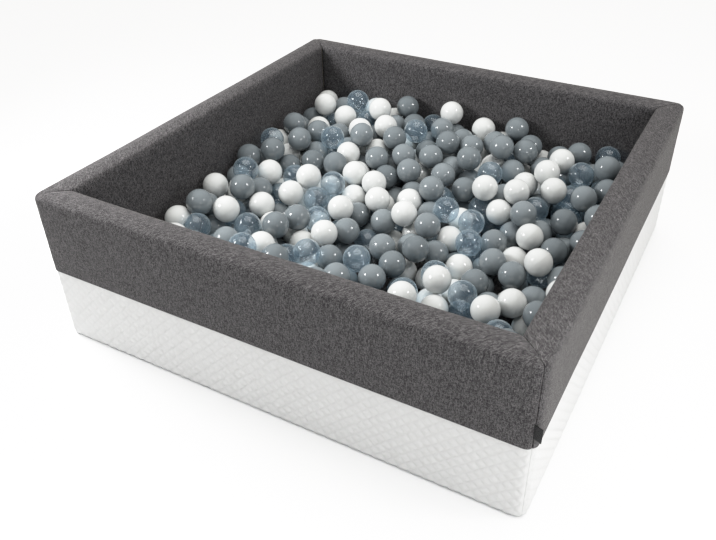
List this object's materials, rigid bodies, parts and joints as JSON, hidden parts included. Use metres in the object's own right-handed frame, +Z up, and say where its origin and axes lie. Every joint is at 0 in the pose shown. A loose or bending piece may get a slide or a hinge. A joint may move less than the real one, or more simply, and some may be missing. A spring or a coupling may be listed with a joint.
{
  "type": "ball pit",
  "caption": "Square padded ball pit: mitred foam walls in a woven cover over a quilted band, padded floor, rear zip, corner tab and a heap of play balls.",
  "frame": {"origin": "middle of the underside, on the floor", "axes": "+X along the front wall to the right, +Y from the front wall to the zipped back wall, +Z up"},
  "size_m": [1.2064, 1.205, 0.4],
  "materials": {
    "charcoal_weave": "charcoal melange upholstery weave",
    "white_quilt": "white cloth quilted in small diamonds",
    "base_cloth": "plain non-slip base cloth",
    "foam": "open-cell foam",
    "label_black": "blank black woven tab",
    "zip_nylon": "white coil zip",
    "zip_metal": "plated zip slider and pull",
    "grey_plastic": "glossy blue-grey polyethylene",
    "white_plastic": "glossy white polyethylene",
    "clear_plastic": "clear polyethylene, slightly blue"
  },
  "bodies": {
    "pit": {"front_wall_foam": "foam", "right_wall_foam": "foam", "back_wall_foam": "foam", "left_wall_foam": "foam", "front_upper_cover": "charcoal_weave", "right_upper_cover": "charcoal_weave", "back_upper_cover": "charcoal_weave", "left_upper_cover": "charcoal_weave", "front_lower_cover": "white_quilt", "right_lower_cover": "white_quilt", "back_lower_cover": "white_quilt", "left_lower_cover": "white_quilt", "base_cover": "base_cloth", "floor_foam": "foam", "floor_cover": "charcoal_weave", "corner_label": "label_black", "zip_chain": "zip_nylon", "heap_front_left": "grey_plastic", "heap_front_centre": "grey_plastic", "heap_front_right": "grey_plastic", "heap_middle_left": "grey_plastic", "heap_middle_centre": "grey_plastic", "heap_middle_right": "grey_plastic", "heap_back_left": "grey_plastic", "heap_back_centre": "grey_plastic", "heap_back_right": "grey_plastic"},
    "zip_slider": {"zip_slider": "zip_metal"},
    "zip_pull": {"zip_pull": "zip_metal"},
    "ball_01": {"ball_01": "grey_plastic"},
    "ball_02": {"ball_02": "clear_plastic"},
    "ball_03": {"ball_03": "white_plastic"},
    "ball_04": {"ball_04": "grey_plastic"},
    "ball_05": {"ball_05": "clear_plastic"},
    "ball_06": {"ball_06": "white_plastic"},
    "ball_07": {"ball_07": "grey_plastic"},
    "ball_08": {"ball_08": "clear_plastic"},
    "ball_09": {"ball_09": "white_plastic"},
    "ball_10": {"ball_10": "grey_plastic"},
    "ball_11": {"ball_11": "clear_plastic"},
    "ball_12": {"ball_12": "white_plastic"},
    "ball_13": {"ball_13": "grey_plastic"},
    "ball_14": {"ball_14": "clear_plastic"},
    "ball_15": {"ball_15": "white_plastic"},
    "ball_16": {"ball_16": "grey_plastic"}
  },
  "joints": [
    {"name": "zip_slide", "type": "slide", "parent": "pit", "child": "zip_slider", "axis": [1, 0, 0], "range_m": [0, 0.96]},
    {"name": "zip_pull_turn", "type": "hinge", "parent": "zip_slider", "child": "zip_pull", "pos_m": [-0.487, 0.6032, 0.181], "axis": [0, 0, 1], "range_deg": [0, 180]},
    {"name": "ball_01_lift", "type": "slide", "parent": "pit", "child": "ball_01", "axis": [0, 0, 1], "range_m": [0, 0.3]},
    {"name": "ball_02_lift", "type": "slide", "parent": "pit", "child": "ball_02", "axis": [0, 0, 1], "range_m": [0, 0.3]},
    {"name": "ball_03_lift", "type": "slide", "parent": "pit", "child": "ball_03", "axis": [0, 0, 1], "range_m": [0, 0.3]},
    {"name": "ball_04_lift", "type": "slide", "parent": "pit", "child": "ball_04", "axis": [0, 0, 1], "range_m": [0, 0.3]},
    {"name": "ball_05_lift", "type": "slide", "parent": "pit", "child": "ball_05", "axis": [0, 0, 1], "range_m": [0, 0.3]},
    {"name": "ball_06_lift", "type": "slide", "parent": "pit", "child": "ball_06", "axis": [0, 0, 1], "range_m": [0, 0.3]},
    {"name": "ball_07_lift", "type": "slide", "parent": "pit", "child": "ball_07", "axis": [0, 0, 1], "range_m": [0, 0.3]},
    {"name": "ball_08_lift", "type": "slide", "parent": "pit", "child": "ball_08", "axis": [0, 0, 1], "range_m": [0, 0.3]},
    {"name": "ball_09_lift", "type": "slide", "parent": "pit", "child": "ball_09", "axis": [0, 0, 1], "range_m": [0, 0.3]},
    {"name": "ball_10_lift", "type": "slide", "parent": "pit", "child": "ball_10", "axis": [0, 0, 1], "range_m": [0, 0.3]},
    {"name": "ball_11_lift", "type": "slide", "parent": "pit", "child": "ball_11", "axis": [0, 0, 1], "range_m": [0, 0.3]},
    {"name": "ball_12_lift", "type": "slide", "parent": "pit", "child": "ball_12", "axis": [0, 0, 1], "range_m": [0, 0.3]},
    {"name": "ball_13_lift", "type": "slide", "parent": "pit", "child": "ball_13", "axis": [0, 0, 1], "range_m": [0, 0.3]},
    {"name": "ball_14_lift", "type": "slide", "parent": "pit", "child": "ball_14", "axis": [0, 0, 1], "range_m": [0, 0.3]},
    {"name": "ball_15_lift", "type": "slide", "parent": "pit", "child": "ball_15", "axis": [0, 0, 1], "range_m": [0, 0.3]},
    {"name": "ball_16_lift", "type": "slide", "parent": "pit", "child": "ball_16", "axis": [0, 0, 1], "range_m": [0, 0.3]}
  ]
}
